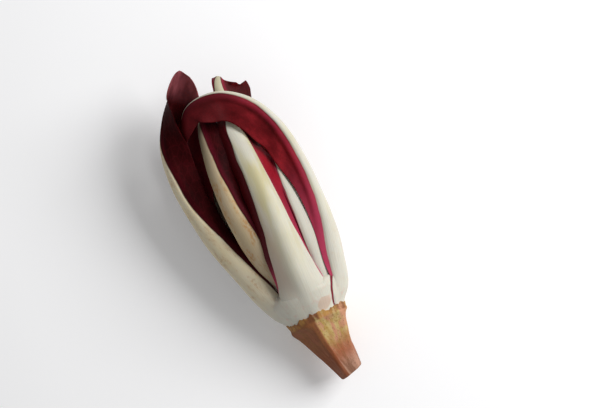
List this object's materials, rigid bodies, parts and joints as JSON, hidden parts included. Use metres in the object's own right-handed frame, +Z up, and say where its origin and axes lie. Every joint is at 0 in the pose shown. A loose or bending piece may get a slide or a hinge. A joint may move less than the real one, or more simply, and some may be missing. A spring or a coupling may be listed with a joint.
{
  "type": "radicchio head",
  "caption": "Head of late forced red radicchio lying on its side: a peeled, pointed root stub and long white-ribbed, dark red leaves that curl in over its top.",
  "frame": {"origin": "middle of the head's footprint, on the flat underside that it rests on", "axes": "+Y along the head from its root to its leaf tips, +Z up, +X to the head's right as seen from its root with its top leaf up"},
  "size_m": [0.0785, 0.204, 0.0602],
  "materials": {
    "pale_leaf": "smooth, moist white ribs with narrow wine-red blades",
    "red_leaf": "thin, satin, dark wine-red leaf",
    "peeled_root": "pared and fibrous"
  },
  "bodies": {
    "root": {"top_leaf": "pale_leaf", "right_hook_leaf": "pale_leaf", "lower_right_leaf": "pale_leaf", "lower_left_leaf": "pale_leaf", "left_leaf": "pale_leaf", "upper_left_leaf": "pale_leaf", "upper_right_leaf": "pale_leaf", "right_flank_leaf": "pale_leaf", "under_leaf": "pale_leaf", "left_flank_leaf": "pale_leaf", "back_leaf": "red_leaf", "inner_leaf_1": "red_leaf", "inner_leaf_2": "red_leaf", "inner_leaf_3": "red_leaf", "inner_leaf_4": "red_leaf", "heart_leaf_1": "red_leaf", "heart_leaf_2": "red_leaf", "heart_leaf_3": "red_leaf", "heart_leaf_4": "red_leaf", "root_stub": "peeled_root"}
  },
  "joints": []
}
